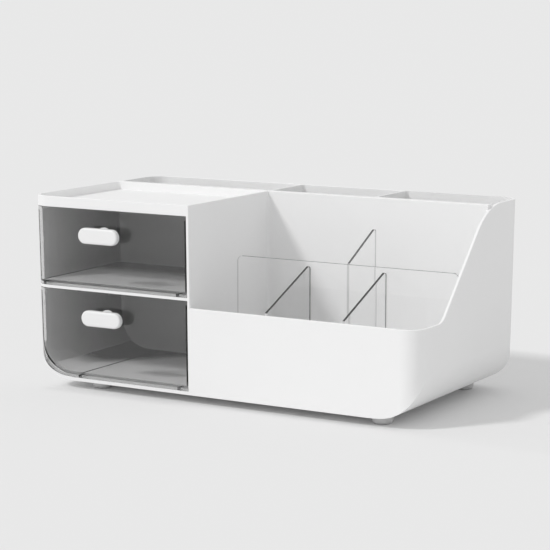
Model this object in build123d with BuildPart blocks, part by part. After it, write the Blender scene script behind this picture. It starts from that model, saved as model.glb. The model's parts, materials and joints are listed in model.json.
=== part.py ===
"""Desktop drawer organizer: a white moulded body with two smoked drawers and clear dividers.

Millimetres, +Z up. X runs to the right and Y to the back as the drawers are faced. The origin is
on the table, under the middle of the whole organizer with its handles.
"""
from math import cos, hypot, radians, sin, tan
import os

from build123d import *

os.makedirs("parts", exist_ok=True)

# Overall body, measured at its top rim
width = 360.0
depth = 186.0
height = 160.0
corner_radius = 17.0
draft = 0.9
wall = 2.3
floor_wall = 2.7
inner_wall = 2.2
inside_radius = 3.0
rim_radius = 0.5

# Curve from each side wall into the underside, as seen from the front
corner_run = 43.7
corner_rise = 35.2
under_radius = 136.0

# Drawer column and the tray on top of it
column_width = 156.0
tray_depth = 6.8
tray_floor = 1.8
lower_bay_height = 73.8
shelf = 2.2

# Wall between the front part and the row of rear compartments
front_depth = 124.0
partition = 6.5
partition_skin = 2.1
partition_cap = 2.6
rear_split = 256.0

# Open bin with a low front wall and a sloping right wall
bin_rim = 77.7
slope_front = 42.0
slope_back = 120.0
slope_low_radius = 15.0
slope_high_radius = 60.0

# Drawers
front_panel = 2.4
gap_top = 0.7
gap_bottom = 0.3
gap_side = 0.4
wrap_depth = 9.0
gap_behind_wrap = 0.4
corner_lip = 0.8
tub_clearance = 0.8
tub_inset = 5.3
tub_back_clearance = 2.4
tub_wall = 1.8
tub_floor = 1.5
tub_below_front = 3.0
runner_gap = 0.2
runner_width = 3.3
runner_height = 2.2
runner_inset = 10.5
low_runner_inset = 44.5
stop_width = 24.0
stop_height = 2.2
stop_thickness = 2.0
stop_place = 22.0

# Handles and their screws
handle_length = 38.4
handle_height = 13.0
handle_thickness = 4.8
handle_reach = 11.0
handle_below_bay_top = 20.6
handle_lefts = (1.9, 0.5)
handle_edge = 1.6
stem_diameter = 10.0
flange_diameter = 13.4
flange_thickness = 1.5
stem_seat = 0.3
seat_clearance = 0.2
screw_diameter = 2.8
screw_head_diameter = 5.6
screw_head_height = 2.0
screw_length = 8.0
screw_slot = 0.8
screw_slot_depth = 1.0
screw_clearance = 0.1
screw_end_gap = 0.8

# Clear dividers and the floor rails that hold them
sheet = 2.0
sheet_gap = 0.3
sheet_end_gap = 0.4
long_sheet_place = 73.5
long_sheet_top = 111.4
long_sheet_corner = 4.5
front_sheet_places = (223.7, 292.4)
front_sheet_low = 77.6
front_sheet_high = 109.0
rear_sheet_place = 258.0
rear_sheet_low = 112.0
rear_sheet_high = 136.1
rear_sheet_end_gap = 2.8
sheet_tip = 2.3
rail_height = 4.0
rail_width = 6.4

# Feet
foot_height = 7.0
foot_diameter = 17.0
foot_base_diameter = 16.4
foot_edge = 3.3
foot_seat = 1.2
foot_clearance = 0.2
foot_boss = 1.3
foot_left = 57.5
foot_right = 40.7
foot_front = 20.0

# Places worked out from the sizes above
slope = tan(radians(draft))
x_left = -width / 2
x_right = width / 2
x_column = x_left + column_width
x_bay = x_column - inner_wall
z_base = foot_height
z_floor = z_base + floor_wall
z_shelf = z_floor + lower_bay_height
z_upper = z_shelf + shelf
z_tray = height - tray_depth
z_ceiling = z_tray - tray_floor
z_handle = z_ceiling - handle_below_bay_top
z_low_handle = z_shelf - handle_below_bay_top
reach_at_handle = handle_reach - slope * (height - z_handle)
y_front = -(depth - reach_at_handle) / 2
y_back = y_front + depth
y_partition = y_front + front_depth
y_rear = y_partition + partition
x_split = x_left + rear_split
x_middle = (x_left + x_bay) / 2
x_handle, x_low_handle = (x_middle - left for left in handle_lefts)
z_sheet = z_floor + sheet_gap
y_wrap_end = y_front + wrap_depth
y_wrap = y_wrap_end + gap_behind_wrap
y_sheet = y_front + long_sheet_place
far = 40.0


def draft_in(z):
    """How far the drafted outer faces stand inside the rim's outline at height z."""
    return slope * (height - z)


def side_radius(run, rise, big):
    """Radius of the small arc that meets a big arc tangentially inside a corner of run by rise."""
    return (2 * big * rise - run**2 - rise**2) / (2 * (big - run))


def corner_joint(run, rise, big):
    """Point where the two arcs of a bottom corner meet, from the corner's own left and bottom."""
    small = side_radius(run, rise, big)
    reach = hypot(small - run, rise - big)
    return run + big * (small - run) / reach, big + big * (rise - big) / reach


def bottom_corner(x_side, z_bottom, z_side, run, big, way):
    """Draws the two arcs of a bottom corner from the side wall to the underside."""
    across, up = corner_joint(run, z_side - z_bottom, big)
    side = (x_side, z_side)
    joint = (x_side + way * across, z_bottom + up)
    under = (x_side + way * run, z_bottom)
    TangentArc(side, joint, tangent=(0, -1))
    TangentArc(under, joint, tangent=(-way, 0))
    return side, under


def body_outline(side, floor):
    """Front view of the body, inset from its sides and its underside, open above the corners."""
    z_side = z_base + corner_rise
    left = x_left + side + draft_in(z_side)
    right = x_right - side - draft_in(z_side)
    with BuildSketch(Plane.XZ) as outline:
        with BuildLine():
            start, under_left = bottom_corner(
                left, z_base + floor, z_side, corner_run - side, under_radius - floor, 1)
            end, under_right = bottom_corner(
                right, z_base + floor, z_side, corner_run - side, under_radius - floor, -1)
            Line(under_left, under_right)
            Polyline(end, (right + far, z_side), (right + far, height + far),
                     (left - far, height + far), (left - far, z_side), start)
        make_face()
    return outline.sketch


def body_solid(side, floor, forward=0):
    """The drafted body, inset from its sides and its underside, with its front moved forward."""
    with BuildPart() as body:
        top = Plane(origin=(0, y_front + depth / 2, height), x_dir=(1, 0, 0), z_dir=(0, 0, -1))
        with BuildSketch(top):
            with Locations((0, forward / 2)):
                RectangleRounded(width - 2 * side, depth - 2 * side + forward, corner_radius - side)
        extrude(amount=height - z_base, taper=draft)
        with BuildSketch(Plane.XZ):
            add(body_outline(side, floor))
        extrude(amount=depth + 2 * far, both=True, mode=Mode.INTERSECT)
    return body.part


def block(x, y, z, mode=Mode.ADD):
    """A box given by its low and high places along each axis."""
    with Locations(((x[0] + x[1]) / 2, (y[0] + y[1]) / 2, (z[0] + z[1]) / 2)):
        Box(x[1] - x[0], y[1] - y[0], z[1] - z[0], mode=mode)


def sheet_band(start, across):
    """Low and high place of a band of a given width, centred on a divider that begins at start."""
    return start + (sheet - across) / 2, start + (sheet + across) / 2


def upright_lines(part):
    """The straight edges of a part that stand up, within the draft."""
    return part.edges().filter_by(GeomType.LINE).filter_by(
        lambda edge: abs(edge.tangent_at(0.5).Z) > cos(radians(2 * draft + 1)))


def hollow(x, y, z, square=0):
    """An open hollow of the body, cut to the inside of the outer walls.

    Its upright corners are rounded, apart from the given number nearest to the right front one.
    """
    with BuildPart() as space:
        block(x, y, z)
        add(body_solid(wall, floor_wall), mode=Mode.INTERSECT)
        corners = upright_lines(space.part).sort_by_distance(Vertex(x[1], y[0], z[1]))
        fillet(corners[square:], inside_radius)
        with BuildSketch(Plane.XY.offset(height)):
            add(space.faces().sort_by(Axis.Z)[-1])
        extrude(amount=far)
    return space.part


foot_places = tuple((x, y) for y in (y_front + foot_front, y_back - foot_front)
                    for x in (x_left + foot_left, x_right - foot_right))


# Hollows of the body
with BuildPart() as bin_space:
    add(hollow((x_column, x_right), (y_front, y_partition), (z_base, height)))

with BuildPart() as tray_space:
    add(hollow((x_left, x_bay), (y_front, y_partition), (z_tray, height)))

rear_places = ((x_left, x_bay), (x_column, x_split - inner_wall), (x_split, x_right))
with BuildPart() as rear_space:
    for place in rear_places:
        # the slope of the right wall runs out over the last corner, which stays square
        add(hollow(place, (y_rear, y_back), (z_base, height), square=int(place[1] == x_right)))


def low_front_outline(gap):
    """Front view of the lower drawer's opening, or of its front with a gap all round."""
    z_side = z_base + corner_rise
    left = x_left + corner_lip + gap + draft_in(z_side)
    bottom = z_floor + gap
    run = corner_run - corner_lip - gap
    with BuildSketch(Plane.XZ) as outline:
        with BuildLine():
            start, under = bottom_corner(left, bottom, z_side + gap, run, under_radius - floor_wall, 1)
            Polyline(under, (x_bay + far, bottom), (x_bay + far, height), (left - far, height),
                     (left - far, z_side + gap), start)
        make_face()
    return outline.sketch


# Body moulding
with BuildPart() as housing:
    add(body_solid(0, 0))
    add(bin_space.part, mode=Mode.SUBTRACT)
    add(tray_space.part, mode=Mode.SUBTRACT)
    add(rear_space.part, mode=Mode.SUBTRACT)
    # drawer bays behind the ends of the wrapped fronts
    with BuildPart(mode=Mode.PRIVATE) as bays:
        add(body_solid(wall, floor_wall))
        block((x_left, x_bay), (y_front, y_partition), (z_base, z_ceiling), mode=Mode.INTERSECT)
        block((x_left, x_bay), (y_front, y_partition), (z_shelf, z_upper), mode=Mode.SUBTRACT)
    add(bays.part, mode=Mode.SUBTRACT)
    # openings for the two drawer fronts, which wrap round the left corner
    with BuildPart(mode=Mode.PRIVATE) as front_openings:
        with BuildSketch(Plane.XZ):
            add(low_front_outline(0))
        extrude(amount=depth, both=True)
        block((x_left - far, x_bay), (y_front - far, y_wrap), (z_base, z_shelf), mode=Mode.INTERSECT)
        block((x_left - far, x_bay), (y_front - far, y_wrap), (z_upper, z_ceiling))
    add(front_openings.part, mode=Mode.SUBTRACT)
    # low front wall and sloping right wall of the bin
    with BuildPart(mode=Mode.PRIVATE) as above_rim:
        with BuildSketch(Plane.YZ.offset(x_column)):
            with BuildLine():
                low = (y_front + slope_front, bin_rim)
                high = (y_front + slope_back, height)
                FilletPolyline((y_front - far, bin_rim), low, high, (y_back, height),
                               radius=[slope_low_radius, slope_high_radius])
                Polyline((y_back, height), (y_back, height + far), (y_front - far, height + far),
                         (y_front - far, bin_rim))
            make_face()
        extrude(amount=width)
        # the partition and the dividers behind it keep their full height
        with BuildPart(mode=Mode.PRIVATE) as kept:
            add(body_solid(wall, 0))
            block((x_column, x_right), (y_partition, y_rear), (bin_rim, height), mode=Mode.INTERSECT)
            block((x_column, x_right - wall - corner_radius), (y_rear, y_back), (bin_rim, height))
        add(kept.part, mode=Mode.SUBTRACT)
    add(above_rim.part, mode=Mode.SUBTRACT)
    # the partition is two skins joined at the top, open from below
    block((x_left + corner_run, x_right - corner_run),
          (y_partition + partition_skin, y_rear - partition_skin),
          (z_base, height - partition_cap), mode=Mode.SUBTRACT)
    # a rib under the ceiling of each bay stops its drawer
    for ceiling in (z_ceiling, z_shelf):
        block((x_middle - stop_width / 2, x_middle + stop_width / 2),
              (y_front + stop_place, y_front + stop_place + stop_thickness),
              (ceiling - stop_height, ceiling))
    # rails on the bin's floor, with slots for the clear dividers
    with BuildPart(mode=Mode.PRIVATE) as rails:
        block((x_column, x_right), sheet_band(y_sheet, rail_width), (z_base, z_floor + rail_height))
        for place in front_sheet_places:
            block(sheet_band(x_left + place, rail_width), (y_front, y_sheet),
                  (z_base, z_floor + rail_height))
        block(sheet_band(x_left + rear_sheet_place, rail_width), (y_sheet, y_partition),
              (z_base, z_floor + rail_height))
        add(body_solid(wall / 2, floor_wall / 2), mode=Mode.INTERSECT)
    add(rails.part)
    slot = sheet + 2 * sheet_gap
    with BuildPart(mode=Mode.PRIVATE) as slots:
        block((x_column, x_right), sheet_band(y_sheet, slot), (z_base, z_ceiling))
        for place in front_sheet_places:
            block(sheet_band(x_left + place, slot), (y_front, y_sheet), (z_base, z_ceiling))
        block(sheet_band(x_left + rear_sheet_place, slot), (y_sheet, y_partition), (z_base, z_ceiling))
        add(body_solid(wall, floor_wall), mode=Mode.INTERSECT)
    add(slots.part, mode=Mode.SUBTRACT)
    # rounded rims, each found by a point on it: the bin inside, the outline with the slope, the
    # tray, the first two rear compartments, the partition and the column
    y_bin_rim = y_front + draft_in(bin_rim) + wall
    for point in ((0, y_bin_rim, bin_rim), (0, y_back, height), (x_middle, y_partition, height),
                  (x_middle, y_rear, height), ((x_column + x_split) / 2, y_rear, height),
                  (x_split, y_partition, height), (x_column, 0, height)):
        fillet(housing.edges().sort_by_distance(Vertex(*point))[0], rim_radius)
    # flat round bosses under the curve, and seats in them for the feet
    with BuildSketch(Plane.XY.offset(z_base)):
        with Locations(*foot_places):
            Circle(foot_diameter / 2 + foot_clearance + foot_boss)
    extrude(amount=floor_wall)
    with BuildSketch(Plane.XY.offset(z_base)):
        with Locations(*foot_places):
            Circle(foot_diameter / 2 + foot_clearance)
    extrude(amount=foot_seat, mode=Mode.SUBTRACT)
housing.part.label = "housing"
export_step(housing.part, "parts/housing.step")


def foot_solid(x, y):
    """One tapered foot with its upper end in the seat under the body."""
    with BuildPart() as foot:
        with BuildSketch(Plane.XZ):
            with BuildLine():
                base, rim = foot_base_diameter / 2, foot_diameter / 2
                FilletPolyline((0, 0), (base, 0), (rim, foot_height), radius=foot_edge)
                Polyline((rim, foot_height), (rim, foot_height + foot_seat),
                         (0, foot_height + foot_seat), (0, 0))
            make_face()
        revolve(axis=Axis.Z)
    return foot.part.moved(Location((x, y, 0)))


# Feet
with BuildPart() as foot_front_left:
    add(foot_solid(*foot_places[0]))
foot_front_left.part.label = "foot_front_left"
export_step(foot_front_left.part, "parts/foot_front_left.step")

with BuildPart() as foot_front_right:
    add(foot_solid(*foot_places[1]))
foot_front_right.part.label = "foot_front_right"
export_step(foot_front_right.part, "parts/foot_front_right.step")

with BuildPart() as foot_rear_left:
    add(foot_solid(*foot_places[2]))
foot_rear_left.part.label = "foot_rear_left"
export_step(foot_rear_left.part, "parts/foot_rear_left.step")

with BuildPart() as foot_rear_right:
    add(foot_solid(*foot_places[3]))
foot_rear_right.part.label = "foot_rear_right"
export_step(foot_rear_right.part, "parts/foot_rear_right.step")


def handle_seat(z):
    """Y of the flat seat that the handle's stem stands on, in the drafted front face."""
    return y_front + draft_in(z) + stem_seat


def screw_seat(z):
    """Y of the flat seat under the screw's head, in the back face of the drawer's front."""
    return y_front + draft_in(z) + front_panel - stem_seat


def disc(x, y, z, diameter, length, mode=Mode.ADD):
    """A round bar along Y at x and z, from y towards the back."""
    with BuildSketch(Plane.XZ.offset(-y)) as circle:
        with Locations((x, z)):
            Circle(diameter / 2)
    extrude(circle.sketch, amount=-length, mode=mode)


def drawer_solid(z_low, z_high, x_grip, z_grip, runner_places):
    """A drawer in one piece: a front wrapped round the left corner, and the tub behind it."""
    z_under = z_low + runner_gap + runner_height
    z_inside = z_under + tub_floor
    z_rim = z_high - gap_top - tub_below_front
    right = x_bay - tub_clearance
    back = y_partition - tub_back_clearance
    bottom = z_low == z_floor
    with BuildPart() as drawer:
        # front, flush with the body all round the corner
        add(body_solid(0, 0))
        if bottom:
            with BuildSketch(Plane.XZ):
                add(low_front_outline(gap_bottom))
            extrude(amount=depth, both=True, mode=Mode.INTERSECT)
        block((x_left, x_bay - gap_side), (y_front, y_wrap_end), (z_low + gap_bottom, z_high - gap_top),
              mode=Mode.INTERSECT)
        add(body_solid(front_panel, 0), mode=Mode.SUBTRACT)
        # tub, straight up to the front and clear of the end of the body's left wall
        with BuildPart(mode=Mode.PRIVATE) as outside:
            add(body_solid(tub_inset, z_under - z_base if bottom else 0, forward=corner_radius))
            add(body_solid(front_panel / 2, 0), mode=Mode.INTERSECT)
            block((x_left, right), (y_front, back), (z_under, z_rim), mode=Mode.INTERSECT)
            fillet(upright_lines(outside.part).sort_by(Axis.Y)[-2:], inside_radius)
        add(outside.part)
        with BuildPart(mode=Mode.PRIVATE) as inside:
            add(body_solid(tub_inset + tub_wall, z_inside - z_base if bottom else 0,
                           forward=corner_radius))
            add(body_solid(front_panel, 0), mode=Mode.INTERSECT)
            block((x_left, right - tub_wall), (y_front, back - tub_wall), (z_inside, height),
                  mode=Mode.INTERSECT)
            fillet(upright_lines(inside.part).sort_by(Axis.Y)[-2:], inside_radius - tub_wall / 2)
        add(inside.part, mode=Mode.SUBTRACT)
        # skids under the floor, from the front to the back, and the stop lug on the back wall
        with BuildPart(mode=Mode.PRIVATE) as skids:
            for place in runner_places:
                block((place, place + runner_width), (y_front, back - inside_radius),
                      (z_low + runner_gap, z_under + tub_floor / 2))
            add(body_solid(front_panel / 2, 0), mode=Mode.INTERSECT)
        add(skids.part)
        block((x_middle - stop_width / 2, x_middle + stop_width / 2), (back - tub_wall, back),
              (z_rim, z_high - gap_top))
        # seats and hole for the handle and its screw
        disc(x_grip, y_front - far, z_grip, flange_diameter + 2 * seat_clearance,
             handle_seat(z_grip) - y_front + far, mode=Mode.SUBTRACT)
        disc(x_grip, screw_seat(z_grip), z_grip, screw_head_diameter + 2 * seat_clearance, far / 8,
             mode=Mode.SUBTRACT)
        disc(x_grip, y_front - far, z_grip, screw_diameter + 2 * screw_clearance, far + far / 8,
             mode=Mode.SUBTRACT)
    return drawer.part


def handle_solid(x, z):
    """A pill-shaped grip on a round flanged stem, with a blind bore for the screw."""
    face = y_front + draft_in(z) - handle_reach
    seat = handle_seat(z)
    with BuildPart() as handle:
        with BuildSketch(Plane.XZ.offset(-face)):
            with Locations((x, z)):
                SlotOverall(handle_length, handle_height)
        extrude(amount=-handle_thickness)
        fillet(handle.faces().sort_by(Axis.Y)[0].edges(), handle_edge)
        fillet(handle.faces().sort_by(Axis.Y)[-1].edges(), handle_edge / 2)
        disc(x, face + handle_thickness / 2, z, stem_diameter, seat - face - handle_thickness / 2)
        disc(x, seat - flange_thickness, z, flange_diameter, flange_thickness)
        bore = screw_length + screw_end_gap - (screw_seat(z) - seat)
        disc(x, seat - bore, z, screw_diameter + 2 * screw_clearance, bore, mode=Mode.SUBTRACT)
    return handle.part


def screw_solid(x, z):
    """The slotted screw that holds a handle from inside the drawer."""
    seat = screw_seat(z)
    with BuildPart() as screw:
        disc(x, seat - screw_length, z, screw_diameter, screw_length)
        disc(x, seat, z, screw_head_diameter, screw_head_height)
        fillet(screw.faces().sort_by(Axis.Y)[-1].edges(), screw_head_height / 4)
        block((x - screw_head_diameter, x + screw_head_diameter),
              (seat + screw_head_height - screw_slot_depth, seat + screw_head_height),
              (z - screw_slot / 2, z + screw_slot / 2), mode=Mode.SUBTRACT)
    return screw.part


# Drawers with their handles and screws
right_runner = x_column - runner_inset - runner_width
with BuildPart() as upper_drawer:
    add(drawer_solid(z_upper, z_ceiling, x_handle, z_handle, (x_left + runner_inset, right_runner)))
upper_drawer.part.label = "upper_drawer"
export_step(upper_drawer.part, "parts/upper_drawer.step")

with BuildPart() as lower_drawer:
    add(drawer_solid(z_floor, z_shelf, x_low_handle, z_low_handle,
                     (x_left + low_runner_inset, right_runner)))
lower_drawer.part.label = "lower_drawer"
export_step(lower_drawer.part, "parts/lower_drawer.step")

with BuildPart() as upper_handle:
    add(handle_solid(x_handle, z_handle))
upper_handle.part.label = "upper_handle"
export_step(upper_handle.part, "parts/upper_handle.step")

with BuildPart() as lower_handle:
    add(handle_solid(x_low_handle, z_low_handle))
lower_handle.part.label = "lower_handle"
export_step(lower_handle.part, "parts/lower_handle.step")

with BuildPart() as upper_handle_screw:
    add(screw_solid(x_handle, z_handle))
upper_handle_screw.part.label = "upper_handle_screw"
export_step(upper_handle_screw.part, "parts/upper_handle_screw.step")

with BuildPart() as lower_handle_screw:
    add(screw_solid(x_low_handle, z_low_handle))
lower_handle_screw.part.label = "lower_handle_screw"
export_step(lower_handle_screw.part, "parts/lower_handle_screw.step")


def short_sheet(place, y_low, y_high, top_low, top_high):
    """A clear divider from front to back, its top edge rising to a rounded tip at the back."""
    with BuildPart() as divider:
        with BuildSketch(Plane.YZ.offset(x_left + place)):
            with BuildLine():
                FilletPolyline((y_low, top_low), (y_high, top_high), (y_high, z_sheet), radius=sheet_tip)
                Polyline((y_high, z_sheet), (y_low, z_sheet), (y_low, top_low))
            make_face()
        extrude(amount=sheet)
        add(body_solid(wall + sheet_end_gap, 0), mode=Mode.INTERSECT)
    return divider.part


# Clear dividers of the bin
with BuildPart() as long_divider:
    block((x_column + sheet_end_gap, x_right), (y_sheet, y_sheet + sheet), (z_base, long_sheet_top))
    add(body_solid(wall + sheet_end_gap, floor_wall + sheet_gap), mode=Mode.INTERSECT)
    fillet(long_divider.edges().filter_by(Axis.Y).sort_by(Axis.Z)[-2:], long_sheet_corner)
long_divider.part.label = "long_divider"
export_step(long_divider.part, "parts/long_divider.step")

with BuildPart() as front_left_divider:
    add(short_sheet(front_sheet_places[0], y_front, y_sheet - sheet_end_gap, front_sheet_low,
                    front_sheet_high))
front_left_divider.part.label = "front_left_divider"
export_step(front_left_divider.part, "parts/front_left_divider.step")

with BuildPart() as front_right_divider:
    add(short_sheet(front_sheet_places[1], y_front, y_sheet - sheet_end_gap, front_sheet_low,
                    front_sheet_high))
front_right_divider.part.label = "front_right_divider"
export_step(front_right_divider.part, "parts/front_right_divider.step")

with BuildPart() as rear_divider:
    add(short_sheet(rear_sheet_place, y_sheet + sheet + sheet_end_gap, y_partition - rear_sheet_end_gap,
                    rear_sheet_low, rear_sheet_high))
rear_divider.part.label = "rear_divider"
export_step(rear_divider.part, "parts/rear_divider.step")
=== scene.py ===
"""Desktop drawer organizer: finishes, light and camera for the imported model.

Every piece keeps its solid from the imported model. Every finish is a node material, which follows
its real plastic or metal and the way its surface was made.
"""
from __future__ import annotations

import json
import logging
import math
from dataclasses import dataclass
from enum import Enum

import bpy
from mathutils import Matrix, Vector

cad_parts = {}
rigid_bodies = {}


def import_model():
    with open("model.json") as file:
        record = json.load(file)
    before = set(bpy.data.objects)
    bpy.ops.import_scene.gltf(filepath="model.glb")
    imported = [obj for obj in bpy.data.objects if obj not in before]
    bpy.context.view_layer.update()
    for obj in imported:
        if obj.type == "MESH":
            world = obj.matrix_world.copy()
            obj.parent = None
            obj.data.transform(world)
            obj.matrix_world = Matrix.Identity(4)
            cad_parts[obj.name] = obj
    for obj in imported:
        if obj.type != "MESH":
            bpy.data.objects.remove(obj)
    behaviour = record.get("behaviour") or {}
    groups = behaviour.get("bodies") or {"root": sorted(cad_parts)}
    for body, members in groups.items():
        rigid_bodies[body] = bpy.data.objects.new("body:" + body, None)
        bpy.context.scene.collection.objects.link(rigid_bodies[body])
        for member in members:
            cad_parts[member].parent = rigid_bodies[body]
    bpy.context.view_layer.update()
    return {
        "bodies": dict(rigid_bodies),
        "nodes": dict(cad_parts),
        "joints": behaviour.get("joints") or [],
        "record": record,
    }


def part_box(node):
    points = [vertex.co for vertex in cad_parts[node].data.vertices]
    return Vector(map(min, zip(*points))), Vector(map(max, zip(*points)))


log = logging.getLogger("organizer")

MM = 0.001


def linear(hex_colour: str) -> tuple[float, float, float, float]:
    """Turns an sRGB hex colour into linear values.

    Args:
        hex_colour: Six hex digits, without a leading mark.

    Returns:
        Linear red, green and blue, with an alpha of 1.
    """
    values = []
    for start in (0, 2, 4):
        share = int(hex_colour[start:start + 2], 16) / 255
        values.append(share / 12.92 if share <= 0.04045 else ((share + 0.055) / 1.055) ** 2.4)
    return (*values, 1.0)


def add_node(tree: bpy.types.NodeTree, kind: str, links: dict | None = None,
             **settings: object) -> bpy.types.Node:
    """Adds one node with its settings and its incoming links.

    Args:
        tree: The node tree to add to.
        kind: Blender's name for the node type.
        links: Input name or number to the output socket that feeds it.
        **settings: Input values by socket name with spaces as underscores, or properties.

    Returns:
        The new node.
    """
    node = tree.nodes.new(kind)
    for name, value in settings.items():
        socket = node.inputs.get(name.replace("_", " "))
        if socket is not None:
            socket.default_value = value
        else:
            setattr(node, name, value)
    for name, output in (links or {}).items():
        tree.links.new(output, node.inputs[name])
    return node


def new_material(name: str) -> tuple[bpy.types.Material, bpy.types.NodeTree]:
    """Makes an empty node material.

    Args:
        name: The finish's name.

    Returns:
        The material and its node tree.
    """
    material = bpy.data.materials.new(name)
    material.use_nodes = True
    material.node_tree.nodes.clear()
    return material, material.node_tree


def face_and_place(tree: bpy.types.NodeTree) -> tuple[bpy.types.Node, bpy.types.Node]:
    """Adds nodes that tell how a face is turned and where it lies on its own piece.

    Args:
        tree: The node tree to add to.

    Returns:
        A node with the unsigned parts of the face's normal, and one with its place in metres.
    """
    shape = add_node(tree, "ShaderNodeNewGeometry")
    normal = add_node(tree, "ShaderNodeVectorMath", {0: shape.outputs["True Normal"]},
                      operation="ABSOLUTE")
    coordinates = add_node(tree, "ShaderNodeTexCoord")
    return (add_node(tree, "ShaderNodeSeparateXYZ", {0: normal.outputs[0]}),
            add_node(tree, "ShaderNodeSeparateXYZ", {0: coordinates.outputs["Object"]}))


class Mould(Enum):
    """How the steel of a mould was finished: grain width and bump depth in mm, and roughness.

    The satin and matt grains are drawn coarser than real ones, which are too fine to show.
    """

    SATIN = (0.45, 0.012, 0.62)
    GLOSS = (1.6, 0.006, 0.24)
    MATT = (0.7, 0.030, 0.75)


@dataclass(frozen=True)
class WhitePlastic:
    """Opaque white plastic, injection moulded, so its surface copies the finish of the mould.

    It gives a broad soft sheen with no visible grain from a step away. A slow, hardly seen change
    of tone follows the flow of the melt.
    """

    name: str
    colour: str
    shade: str
    mould: Mould
    flow_mm: float = 45.0
    ior: float = 1.49

    def make(self) -> bpy.types.Material:
        """Builds the material.

        Returns:
            The finished material.
        """
        grain_mm, bump_mm, roughness = self.mould.value
        material, tree = new_material(self.name)
        place = add_node(tree, "ShaderNodeTexCoord")
        flow = add_node(tree, "ShaderNodeTexNoise", {"Vector": place.outputs["Object"]},
                        Scale=1 / (self.flow_mm * MM), Detail=3.0)
        tint = add_node(tree, "ShaderNodeMix", {"Factor": flow.outputs["Fac"]}, data_type="RGBA")
        tint.inputs["A"].default_value = linear(self.colour)
        tint.inputs["B"].default_value = linear(self.shade)
        grain = add_node(tree, "ShaderNodeTexNoise", {"Vector": place.outputs["Object"]},
                         Scale=1 / (grain_mm * MM), Detail=3.0)
        bump = add_node(tree, "ShaderNodeBump", {"Height": grain.outputs["Fac"]},
                        Strength=0.25, Distance=bump_mm * MM)
        surface = add_node(tree, "ShaderNodeBsdfPrincipled",
                           {"Base Color": tint.outputs["Result"], "Normal": bump.outputs["Normal"]},
                           Roughness=roughness, IOR=self.ior)
        add_node(tree, "ShaderNodeOutputMaterial", {"Surface": surface.outputs["BSDF"]})
        return material


@dataclass(frozen=True)
class PaintedEdgeTones:
    """Painted greys on a clear sheet's cut edges: painted reflection of the dark along the sheet.

    The eye sees them as thin grey lines: painted dark along the top, and painted greys at the
    front and back ends. The sheet's large faces are square to the axis named by across, and a face
    is an edge where its normal has less than the edge's share along that axis. The place that parts
    front from back is the sheet's middle, in metres. A face is part of the top where its normal
    rises by the least share given.
    """

    across: str
    middle: float
    # painted greys of the edges, in place of the dark that they reflect
    top: str
    front: str
    back: str
    least_rise: float
    edge_share: float = 0.5

    def add_to(self, tree: bpy.types.NodeTree, glass: bpy.types.Node) -> bpy.types.Node:
        """Adds the painted greys to the faces that aren't the sheet's two large ones.

        Args:
            tree: The material's node tree.
            glass: The shader of the large faces.

        Returns:
            The mixed shader.
        """
        parts, place = face_and_place(tree)
        behind = add_node(tree, "ShaderNodeMath", {0: place.outputs["Y"]}, operation="GREATER_THAN")
        behind.inputs[1].default_value = self.middle
        upward = add_node(tree, "ShaderNodeMath", {0: parts.outputs["Z"]}, operation="GREATER_THAN")
        upward.inputs[1].default_value = self.least_rise
        edge = add_node(tree, "ShaderNodeMath", {0: parts.outputs[self.across]},
                        operation="LESS_THAN")
        edge.inputs[1].default_value = self.edge_share
        # painted greys: dark along the top, lighter or darker at the front and back ends
        ends = add_node(tree, "ShaderNodeMix", {"Factor": behind.outputs[0]}, data_type="RGBA")
        ends.inputs["A"].default_value = linear(self.front)
        ends.inputs["B"].default_value = linear(self.back)
        tone = add_node(tree, "ShaderNodeMix",
                        {"Factor": upward.outputs[0], "A": ends.outputs["Result"]},
                        data_type="RGBA")
        tone.inputs["B"].default_value = linear(self.top)
        cut = add_node(tree, "ShaderNodeBsdfDiffuse", {"Color": tone.outputs["Result"]})
        return add_node(tree, "ShaderNodeMixShader",
                        {0: edge.outputs[0], 1: glass.outputs["BSDF"], 2: cut.outputs["BSDF"]})


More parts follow.
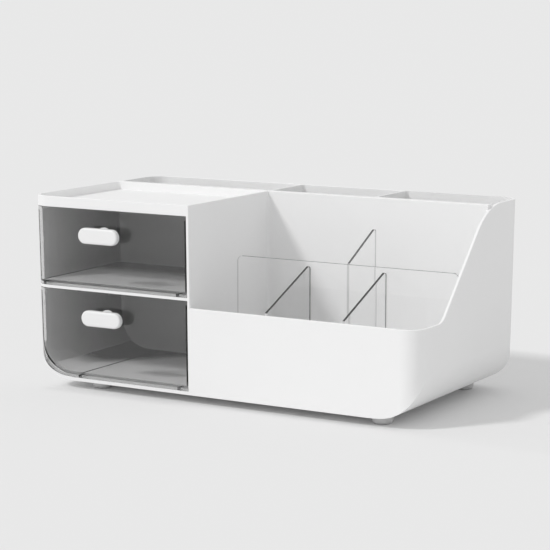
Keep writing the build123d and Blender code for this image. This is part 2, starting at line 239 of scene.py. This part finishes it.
@dataclass(frozen=True)
class TubFrostAndPaintedShade:
    """The mould's fine texture on a drawer's tub, not on its polished front, and painted shade.

    The floor catches the light and looks paler, except at the back, where the body keeps the light
    out. That shade is painted here, and no lamp casts it. The walls carry a painted shade that
    deepens towards the back. The tub begins and ends at places along Y, and a thin dark crease of
    painted shade runs along the floor where a skid or a wall meets it, at a place along X. The
    shade begins at a place along Y, further back by its slope for each metre along X. All places
    and widths are in metres.
    """

    begins: float
    ends: float
    crease: float
    shade_begins: float
    shade_slope: float
    floor_share: float
    shade_blur: float = 0.034
    front_blur: float = 0.004
    # the crease is a painted dark line of shade
    painted_crease_width: float = 0.0020
    least_rise: float = 0.8
    floor_tone: str = "F0F0F0"
    # painted shade: this dark tone goes on the walls, with the side and back shares, on the floor's
    # back and along the crease
    painted_shade_tone: str = "303030"
    side_painted_shade_share: float = 0.5
    back_share: float = 0.27
    painted_crease_share: float = 0.85

    def add_to(self, tree: bpy.types.NodeTree, glass: bpy.types.Node) -> bpy.types.Node:
        """Adds the texture's pale floor and the painted shade of walls and crease to the plastic.

        Args:
            tree: The material's node tree.
            glass: The shader of the polished faces.

        Returns:
            The mixed shader.
        """
        parts, place = face_and_place(tree)
        level = add_node(tree, "ShaderNodeMath", {0: parts.outputs["Z"]}, operation="GREATER_THAN")
        level.inputs[1].default_value = self.least_rise
        on_floor = add_node(tree, "ShaderNodeMapRange", {"Value": place.outputs["Y"]},
                            From_Min=self.begins, From_Max=self.begins + self.front_blur,
                            To_Max=self.floor_share)
        # painted shade on the walls, deepening from the front towards the back
        wall_painted_shade_share = add_node(tree, "ShaderNodeMapRange", {"Value": parts.outputs["Y"]},
                              To_Min=self.side_painted_shade_share, To_Max=self.back_share)
        on_wall_painted_shade = add_node(tree, "ShaderNodeMapRange",
                           {"Value": place.outputs["Y"], "To Max": wall_painted_shade_share.outputs["Result"]},
                           From_Min=self.begins, From_Max=self.ends)
        aslant = add_node(tree, "ShaderNodeMath", {0: place.outputs["X"], 2: place.outputs["Y"]},
                          operation="MULTIPLY_ADD")
        aslant.inputs[1].default_value = -self.shade_slope
        shade = add_node(tree, "ShaderNodeMapRange", {"Value": aslant.outputs[0]},
                         From_Min=self.shade_begins, From_Max=self.shade_begins + self.shade_blur,
                         interpolation_type="SMOOTHSTEP")
        # painted dark line of shade along the crease
        at_painted_crease = add_node(tree, "ShaderNodeMath", {0: place.outputs["X"]}, operation="COMPARE")
        at_painted_crease.inputs[1].default_value = self.crease
        at_painted_crease.inputs[2].default_value = self.painted_crease_width / 2
        line = add_node(tree, "ShaderNodeMath", {0: at_painted_crease.outputs[0], 1: level.outputs[0]},
                        operation="MULTIPLY")
        # where the floor takes the painted shade or the painted crease
        dark = add_node(tree, "ShaderNodeMath", {0: shade.outputs["Result"], 1: line.outputs[0]},
                        operation="MAXIMUM")
        floor = add_node(tree, "ShaderNodeMix", {"Factor": dark.outputs[0]}, data_type="RGBA")
        floor.inputs["A"].default_value = linear(self.floor_tone)
        floor.inputs["B"].default_value = linear(self.painted_shade_tone)
        tone = add_node(tree, "ShaderNodeMix",
                        {"Factor": level.outputs[0], "B": floor.outputs["Result"]},
                        data_type="RGBA")
        tone.inputs["A"].default_value = linear(self.painted_shade_tone)
        share = add_node(tree, "ShaderNodeMix",
                         {"Factor": level.outputs[0], "A": on_wall_painted_shade.outputs["Result"],
                          "B": on_floor.outputs["Result"]})
        share = add_node(tree, "ShaderNodeMix",
                         {"Factor": line.outputs[0], "A": share.outputs["Result"]})
        share.inputs["B"].default_value = self.painted_crease_share
        # diffuse texture in the floor's pale tone, or in the painted shade's dark tone
        frost_and_painted_shade = add_node(tree, "ShaderNodeBsdfDiffuse", {"Color": tone.outputs["Result"]})
        return add_node(tree, "ShaderNodeMixShader",
                        {0: share.outputs["Result"], 1: glass.outputs["BSDF"],
                         2: frost_and_painted_shade.outputs["BSDF"]})


@dataclass(frozen=True)
class ClearPlastic:
    """See-through plastic that dims light a little more with each millimetre.

    Edges and doubled walls look darker than a single wall. Lamps and the light of white walls pass
    through it without being bent, so that what stands inside is lit.
    """

    name: str
    tint: str
    dimming_and_painted_shade_per_mm: float
    ior: float
    ripple_mm: float = 35.0
    ripple_depth_mm: float = 0.01
    roughness: float = 0.015
    cover: PaintedEdgeTones | TubFrostAndPaintedShade | None = None

    def make(self) -> bpy.types.Material:
        """Builds the material.

        Returns:
            The finished material.
        """
        material, tree = new_material(self.name)
        colour = linear(self.tint)
        place = add_node(tree, "ShaderNodeTexCoord")
        ripple = add_node(tree, "ShaderNodeTexNoise", {"Vector": place.outputs["Object"]},
                          Scale=1 / (self.ripple_mm * MM), Detail=1.0)
        bump = add_node(tree, "ShaderNodeBump", {"Height": ripple.outputs["Fac"]},
                        Strength=0.3, Distance=self.ripple_depth_mm * MM)
        glass = add_node(tree, "ShaderNodeBsdfPrincipled", {"Normal": bump.outputs["Normal"]},
                         Roughness=self.roughness, IOR=self.ior, Transmission_Weight=1.0,
                         Base_Color=(1.0, 1.0, 1.0, 1.0))
        if self.cover:
            glass = self.cover.add_to(tree, glass)
        passing = add_node(tree, "ShaderNodeBsdfTransparent", Color=(1.0, 1.0, 1.0, 1.0))
        ray = add_node(tree, "ShaderNodeLightPath")
        straight = add_node(tree, "ShaderNodeMath",
                            {0: ray.outputs["Is Shadow Ray"], 1: ray.outputs["Is Diffuse Ray"]},
                            operation="MAXIMUM")
        surface = add_node(tree, "ShaderNodeMixShader",
                           {0: straight.outputs[0], 1: glass.outputs[0],
                            2: passing.outputs["BSDF"]})
        # absorption per metre is the density times what the tint lacks to white
        # for the two front dividers most of this darkening is painted shade
        density = self.dimming_and_painted_shade_per_mm / MM / (1.0 - colour[1])
        inside = add_node(tree, "ShaderNodeVolumeAbsorption", Color=colour, Density=density)
        add_node(tree, "ShaderNodeOutputMaterial",
                 {"Surface": surface.outputs["Shader"], "Volume": inside.outputs["Volume"]})
        return material


@dataclass(frozen=True)
class PlatedSteel:
    """Steel wire turned to a screw and zinc plated: bluish grey with a slightly worn shine.

    The grain of the plating is drawn coarser than a real one, which is too fine to show.
    """

    name: str = "zinc_plated_steel"
    colour: str = "B4B6B9"
    roughness: float = 0.34
    grain_mm: float = 0.3

    def make(self) -> bpy.types.Material:
        """Builds the material.

        Returns:
            The finished material.
        """
        material, tree = new_material(self.name)
        place = add_node(tree, "ShaderNodeTexCoord")
        grain = add_node(tree, "ShaderNodeTexNoise", {"Vector": place.outputs["Object"]},
                         Scale=1 / (self.grain_mm * MM), Detail=3.0)
        bump = add_node(tree, "ShaderNodeBump", {"Height": grain.outputs["Fac"]},
                        Strength=0.2, Distance=0.02 * MM)
        surface = add_node(tree, "ShaderNodeBsdfPrincipled", {"Normal": bump.outputs["Normal"]},
                           Base_Color=linear(self.colour), Roughness=self.roughness, Metallic=1.0)
        add_node(tree, "ShaderNodeOutputMaterial", {"Surface": surface.outputs["BSDF"]})
        return material


@dataclass
class Studio:
    """A pale floor without a visible end, a soft lamp, and the camera at the photograph's place.

    Away from the object the floor takes the backdrop's own colour where it is seen, and under it
    and in its shadow it is plain lit paper.
    """

    lens_mm: float = 127.66
    camera_mm: tuple[float, float, float] = (806.985, -1369.78, 337.94)
    pitch: float = 81.315
    turn: float = 30.38
    floor_side: float = 60.0
    floor_colour: str = "EAEAEA"
    to_lamp: tuple[float, float, float] = (-0.431, -0.600, 0.674)
    lamp_strength: float = 1.22
    lamp_width: float = 9.0
    sky_strength: float = 0.70
    backdrop_colour: str = "E9E9E9"
    floor_glow: float = 0.8
    glow_under: float = 0.06
    overhang_mm: float = 25.0
    glow_reach_mm: float = 14.0
    shadow_side_mm: float = 150.0

    def build(self) -> None:
        """Makes the floor, the lamp, the world and the camera."""
        self.make_floor()
        self.make_lamp()
        self.make_world()
        self.make_camera()

    def make_floor(self) -> None:
        """Makes a wide flat floor of matt paper."""
        bpy.ops.mesh.primitive_plane_add(size=self.floor_side)
        floor = bpy.context.object
        floor.name = "studio_floor"
        material, tree = new_material("studio_paper")
        paper = add_node(tree, "ShaderNodeBsdfPrincipled", Base_Color=linear(self.floor_colour),
                         Roughness=1.0, Specular_IOR_Level=0.0)
        glow = add_node(tree, "ShaderNodeEmission", Color=linear(self.backdrop_colour),
                        Strength=1.0)
        share = add_node(tree, "ShaderNodeMath",
                         {0: self.seen_ray(tree), 1: self.open_floor(tree)}, operation="MULTIPLY")
        surface = add_node(tree, "ShaderNodeMixShader",
                           {0: share.outputs[0], 1: paper.outputs["BSDF"],
                            2: glow.outputs["Emission"]})
        add_node(tree, "ShaderNodeOutputMaterial", {"Surface": surface.outputs["Shader"]})
        floor.data.materials.append(material)

    def make_lamp(self) -> None:
        """Makes the key light, high on the left in front, as wide as a large soft box."""
        data = bpy.data.lights.new("key", "SUN")
        data.energy = self.lamp_strength
        data.angle = math.radians(self.lamp_width)
        lamp = bpy.data.objects.new("key", data)
        bpy.context.scene.collection.objects.link(lamp)
        lamp.rotation_euler = (-Vector(self.to_lamp)).to_track_quat("-Z", "Y").to_euler()

    def make_world(self) -> None:
        """Makes an even pale surrounding, which looks like the lit floor where it is seen."""
        world = bpy.data.worlds.new("studio")
        bpy.context.scene.world = world
        world.use_nodes = True
        tree = world.node_tree
        tree.nodes.clear()
        sky = add_node(tree, "ShaderNodeBackground", Color=(1.0, 1.0, 1.0, 1.0),
                       Strength=self.sky_strength)
        paper = add_node(tree, "ShaderNodeBackground", Color=linear(self.backdrop_colour),
                         Strength=1.0)
        both = add_node(tree, "ShaderNodeMixShader",
                        {0: self.seen_ray(tree), 1: sky.outputs["Background"],
                         2: paper.outputs["Background"]})
        add_node(tree, "ShaderNodeOutputWorld", {"Surface": both.outputs["Shader"]})

    def open_floor(self, tree: bpy.types.NodeTree) -> bpy.types.NodeSocket:
        """Adds nodes that lighten the floor with the distance from under the object.

        Args:
            tree: The node tree to add to.

        Returns:
            A socket with the share of the backdrop's own colour in the floor.
        """
        low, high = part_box("housing")
        low = (low[0] + self.overhang_mm * MM, low[1])
        high = [edge + self.shadow_side_mm * MM for edge in high]
        middle = ((low[0] + high[0]) / 2, (low[1] + high[1]) / 2, 0.0)
        half = ((high[0] - low[0]) / 2, (high[1] - low[1]) / 2, 0.0)
        place = add_node(tree, "ShaderNodeTexCoord").outputs["Object"]
        # how far a place lies beyond the box: its distance from the middle, less half the box
        for operation, value in (("SUBTRACT", middle), ("ABSOLUTE", None), ("SUBTRACT", half),
                                 ("MAXIMUM", (0.0, 0.0, 0.0)), ("LENGTH", None)):
            step = add_node(tree, "ShaderNodeVectorMath", {0: place}, operation=operation)
            if value is not None:
                step.inputs[1].default_value = value
            place = step.outputs[0]
        share = add_node(tree, "ShaderNodeMapRange", {"Value": step.outputs["Value"]},
                         From_Min=0.0, From_Max=self.glow_reach_mm * MM,
                         To_Min=self.glow_under, To_Max=self.floor_glow)
        return share.outputs["Result"]

    @staticmethod
    def seen_ray(tree: bpy.types.NodeTree) -> bpy.types.NodeSocket:
        """Adds nodes that tell whether something is seen, straight, mirrored or through glass.

        Args:
            tree: The node tree to add to.

        Returns:
            A socket that is 1 for a seen ray and 0 for a ray that only gathers light.
        """
        ray = add_node(tree, "ShaderNodeLightPath")
        seen = add_node(tree, "ShaderNodeMath",
                        {0: ray.outputs["Is Camera Ray"], 1: ray.outputs["Is Glossy Ray"]},
                        operation="MAXIMUM")
        seen = add_node(tree, "ShaderNodeMath",
                        {0: seen.outputs[0], 1: ray.outputs["Is Transmission Ray"]},
                        operation="MAXIMUM")
        return seen.outputs[0]

    def make_camera(self) -> None:
        """Makes the camera that was fitted to the photograph's edges."""
        data = bpy.data.cameras.new("photo_view")
        data.sensor_width = 36.0
        data.lens = self.lens_mm
        data.clip_end = 80.0
        camera = bpy.data.objects.new("photo_view", data)
        bpy.context.scene.collection.objects.link(camera)
        camera.location = [value * MM for value in self.camera_mm]
        camera.rotation_euler = (math.radians(self.pitch), 0.0, math.radians(self.turn))
        bpy.context.scene.camera = camera


class Drawer(Enum):
    """What the floor of each drawer's tub shows.

    In order: the painted dark crease's distance from the drawer's left side in mm, the place where
    the painted shade begins in mm, the shade's slope, and the share of light that the floor's
    texture scatters.
    """

    UPPER = (7.0, -22.0, 0.0, 0.46)
    LOWER = (44.9, 101.0, 1.0, 0.62)


class Sheet(Enum):
    """What each clear sheet shows.

    In order: the axis across it, the painted greys of its top, front and back edges, the least rise
    of a face that counts as its top, and how much light it takes in a millimetre. For the two front
    sheets most of that darkening is painted shade.
    """

    # the edge greys are painted; the front sheets' strong darkening per millimetre is painted shade
    LONG = ("Y", "6E6E6E", "C8C8C8", "C8C8C8", 0.9, 0.0015)
    REAR = ("X", "6E6E6E", "D2D2D2", "C0C0C0", 0.5, 0.0015)
    FRONT_LEFT = ("X", "545454", "D2D2D2", "323232", 0.5, 0.065)
    FRONT_RIGHT = ("X", "545454", "D2D2D2", "6A6A6A", 0.5, 0.02)


@dataclass
class Organizer:
    """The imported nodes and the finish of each."""

    frame: dict
    panel_mm: float = 5.0

    def dress(self) -> None:
        """Gives every node its finish."""
        finishes = {
            # polypropylene from a satin mould: an even white with a broad soft sheen
            "housing": WhitePlastic("white_polypropylene", "F4F4F4", "F1F1F1", Mould.SATIN).make(),
            # ABS from a polished mould: the same white with a small clear highlight
            "handle": WhitePlastic("white_abs", "F0F0F0", "EEEEEE", Mould.GLOSS, ior=1.53).make(),
            # thermoplastic elastomer, moulded and matt: a greyer white that hardly shines
            "foot": WhitePlastic("white_elastomer", "D0D0D0", "CCCCCC", Mould.MATT, ior=1.5).make(),
            "screw": PlatedSteel().make(),
        }
        for name, node in self.frame["nodes"].items():
            if name.endswith("_divider"):
                finish = self.clear_sheet(name)
            elif name.endswith("_drawer"):
                finish = self.smoked_tub(name)
            else:
                # a foot is named by its first word, a handle and its screw by their last
                words = name.split("_")
                finish = finishes[words[0] if words[0] in finishes else words[-1]]
            node.data.materials.clear()
            node.data.materials.append(finish)
            log.info("%s has the finish %s", name, finish.name)

    def smoked_tub(self, name: str) -> bpy.types.Material:
        """Makes the smoked polystyrene of one drawer, with its tub's fine texture and painted
        shade.

        Polystyrene is moulded brittle and clear. The grey dye shows most where walls overlap.

        Args:
            name: The drawer's node.

        Returns:
            The finished material.
        """
        # both drawers share the upper one's front and back
        low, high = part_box("upper_drawer")
        crease, shade, slope, share = Drawer[name.removesuffix("_drawer").upper()].value
        frost_and_painted_shade = TubFrostAndPaintedShade(begins=low[1] + self.panel_mm * MM, ends=high[1],
                         crease=low[0] + crease * MM, shade_begins=shade * MM,
                         shade_slope=slope, floor_share=share)
        return ClearPlastic(f"smoked_polystyrene_{name}", "8C8C8C", 0.045, 1.5, cover=frost_and_painted_shade).make()

    @staticmethod
    def clear_sheet(name: str) -> bpy.types.Material:
        """Makes the clear acrylic of one divider, a cast sheet with its own sawn edges, and its
        painted shade.

        Args:
            name: The divider's node.

        Returns:
            The finished material.
        """
        low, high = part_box(name)
        across, top, front, back, rise, dimming_and_painted_shade = Sheet[name.removesuffix("_divider").upper()].value
        edges = PaintedEdgeTones(across, (low[1] + high[1]) / 2, top, front, back, rise)
        return ClearPlastic(f"clear_acrylic_{name}", "F5F5F5", dimming_and_painted_shade, 1.49,
                            ripple_depth_mm=0.004, cover=edges).make()


def main() -> None:
    """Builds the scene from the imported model."""
    logging.basicConfig(level=logging.INFO, format="%(name)s: %(message)s")
    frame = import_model()
    Organizer(frame).dress()
    Studio().build()
    scene = bpy.context.scene
    scene.view_settings.view_transform = "Standard"


if __name__ == "__main__":
    main()
